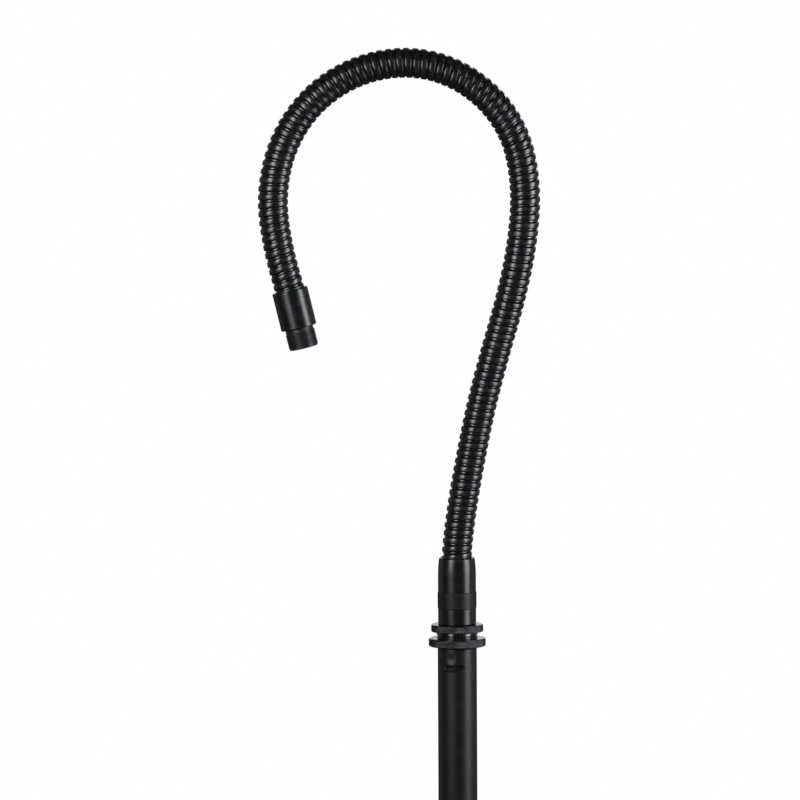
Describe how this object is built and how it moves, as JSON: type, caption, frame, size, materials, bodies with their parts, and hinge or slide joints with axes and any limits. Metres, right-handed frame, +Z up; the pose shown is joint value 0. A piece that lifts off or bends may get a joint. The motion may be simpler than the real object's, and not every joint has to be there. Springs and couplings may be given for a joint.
{
  "type": "gooseneck microphone stand",
  "caption": "Flexible black gooseneck with a threaded tip on a slim tube with knurled rings and a round weighted desk base.",
  "frame": {"origin": "centre of the underside of the round base, on the axis of the stand tube", "axes": "+Z up along the stand tube; the gooseneck bends over in the XZ plane, towards -X; +Y completes the right-handed frame"},
  "size_m": [0.1844, 0.16, 0.5132],
  "materials": {
    "base_paint": "satin",
    "tube_paint": "satin",
    "black_fittings": "satin",
    "black_ferrules": "satin",
    "black_stud": "satin",
    "wrap_wire": "satin",
    "coil_wire": "satin",
    "plain_steel": "satin",
    "felt": "matte"
  },
  "bodies": {
    "stand": {"base_casting": "base_paint", "base_pad": "felt", "base_washer": "plain_steel", "base_bolt": "plain_steel", "tube_foot_plug": "plain_steel", "stand_tube": "tube_paint", "top_fitting": "black_fittings"},
    "lock_ring": {"jam_ring": "black_fittings"},
    "neck_foot": {"foot_ferrule": "black_ferrules", "threaded_bush": "plain_steel", "foot_coil": "coil_wire", "foot_wrap": "wrap_wire"},
    "link_01": {"coil_link_01": "coil_wire", "wrap_link_01": "wrap_wire"},
    "link_02": {"coil_link_02": "coil_wire", "wrap_link_02": "wrap_wire"},
    "link_03": {"coil_link_03": "coil_wire", "wrap_link_03": "wrap_wire"},
    "link_04": {"coil_link_04": "coil_wire", "wrap_link_04": "wrap_wire"},
    "link_05": {"coil_link_05": "coil_wire", "wrap_link_05": "wrap_wire"},
    "link_06": {"coil_link_06": "coil_wire", "wrap_link_06": "wrap_wire"},
    "link_07": {"coil_link_07": "coil_wire", "wrap_link_07": "wrap_wire"},
    "link_08": {"coil_link_08": "coil_wire", "wrap_link_08": "wrap_wire"},
    "link_09": {"coil_link_09": "coil_wire", "wrap_link_09": "wrap_wire"},
    "link_10": {"coil_link_10": "coil_wire", "wrap_link_10": "wrap_wire"},
    "link_11": {"coil_link_11": "coil_wire", "wrap_link_11": "wrap_wire"},
    "link_12": {"coil_link_12": "coil_wire", "wrap_link_12": "wrap_wire"},
    "link_13": {"coil_link_13": "coil_wire", "wrap_link_13": "wrap_wire"},
    "link_14": {"coil_link_14": "coil_wire", "wrap_link_14": "wrap_wire"},
    "link_15": {"coil_link_15": "coil_wire", "wrap_link_15": "wrap_wire"},
    "neck_tip": {"tip_coil": "coil_wire", "tip_wrap": "wrap_wire", "tip_ferrule": "black_ferrules", "tip_stud": "black_stud"}
  },
  "joints": [
    {"name": "lock_ring_turn", "type": "hinge", "parent": "stand", "child": "lock_ring", "pos_m": [0, 0, 0.2029], "axis": [0, 0, 1], "range_deg": [-180, 180]},
    {"name": "neck_turn", "type": "hinge", "parent": "stand", "child": "neck_foot", "pos_m": [0, 0, 0.2069], "axis": [0, 0, 1], "range_deg": [-180, 180]},
    {"name": "bend_01", "type": "hinge", "parent": "neck_foot", "child": "link_01", "pos_m": [0.00037, 0, 0.24944], "axis": [0, 1, 0], "range_deg": [-30, 22], "deforming": ["foot_wrap", "wrap_link_01"]},
    {"name": "sway_02", "type": "hinge", "parent": "link_01", "child": "link_02", "pos_m": [0.00454, 0, 0.2791], "axis": [-0.9848, 0, 0.1736], "range_deg": [-30, 30], "deforming": ["wrap_link_01", "wrap_link_02"]},
    {"name": "bend_03", "type": "hinge", "parent": "link_02", "child": "link_03", "pos_m": [0.01013, 0, 0.30853], "axis": [0, -1, 0], "range_deg": [-27, 30], "deforming": ["wrap_link_02", "wrap_link_03"]},
    {"name": "sway_04", "type": "hinge", "parent": "link_03", "child": "link_04", "pos_m": [0.01699, 0, 0.33769], "axis": [-0.9659, 0, 0.2588], "range_deg": [-30, 30], "deforming": ["wrap_link_03", "wrap_link_04"]},
    {"name": "bend_05", "type": "hinge", "parent": "link_04", "child": "link_05", "pos_m": [0.02512, 0, 0.36653], "axis": [0, -1, 0], "range_deg": [-31, 30], "deforming": ["wrap_link_04", "wrap_link_05"]},
    {"name": "sway_06", "type": "hinge", "parent": "link_05", "child": "link_06", "pos_m": [0.0325, 0, 0.39556], "axis": [-0.9781, 0, 0.2079], "range_deg": [-30, 30], "deforming": ["wrap_link_05", "wrap_link_06"]},
    {"name": "bend_07", "type": "hinge", "parent": "link_06", "child": "link_07", "pos_m": [0.03666, 0, 0.4252], "axis": [0, 1, 0], "range_deg": [-20, 32], "deforming": ["wrap_link_06", "wrap_link_07"]},
    {"name": "bend_08", "type": "hinge", "parent": "link_07", "child": "link_08", "pos_m": [0.03471, 0, 0.455], "axis": [0, -1, 0], "range_deg": [-32, 10], "deforming": ["wrap_link_07", "wrap_link_08"]},
    {"name": "bend_09", "type": "hinge", "parent": "link_08", "child": "link_09", "pos_m": [0.02194, 0, 0.48178], "axis": [0, -1, 0], "range_deg": [-32, 5], "deforming": ["wrap_link_08", "wrap_link_09"]},
    {"name": "bend_10", "type": "hinge", "parent": "link_09", "child": "link_10", "pos_m": [-0.00163, 0, 0.49986], "axis": [0, -1, 0], "range_deg": [-32, 4], "deforming": ["wrap_link_09", "wrap_link_10"]},
    {"name": "bend_11", "type": "hinge", "parent": "link_10", "child": "link_11", "pos_m": [-0.03081, 0, 0.50514], "axis": [0, -1, 0], "range_deg": [-32, 5], "deforming": ["wrap_link_10", "wrap_link_11"]},
    {"name": "bend_12", "type": "hinge", "parent": "link_11", "child": "link_12", "pos_m": [-0.05935, 0, 0.49682], "axis": [0, -1, 0], "range_deg": [-32, 7], "deforming": ["wrap_link_11", "wrap_link_12"]},
    {"name": "bend_13", "type": "hinge", "parent": "link_12", "child": "link_13", "pos_m": [-0.08178, 0, 0.47732], "axis": [0, -1, 0], "range_deg": [-32, 7], "deforming": ["wrap_link_12", "wrap_link_13"]},
    {"name": "bend_14", "type": "hinge", "parent": "link_13", "child": "link_14", "pos_m": [-0.09424, 0, 0.4503], "axis": [0, -1, 0], "range_deg": [-32, 10], "deforming": ["wrap_link_13", "wrap_link_14"]},
    {"name": "bend_15", "type": "hinge", "parent": "link_14", "child": "link_15", "pos_m": [-0.09567, 0, 0.42053], "axis": [0, 1, 0], "range_deg": [-17, 32], "deforming": ["wrap_link_14", "wrap_link_15"]},
    {"name": "sway_16", "type": "hinge", "parent": "link_15", "child": "neck_tip", "pos_m": [-0.08944, 0, 0.39126], "axis": [0.9588, 0, 0.284], "range_deg": [-30, 30], "deforming": ["wrap_link_15", "tip_wrap"]}
  ]
}
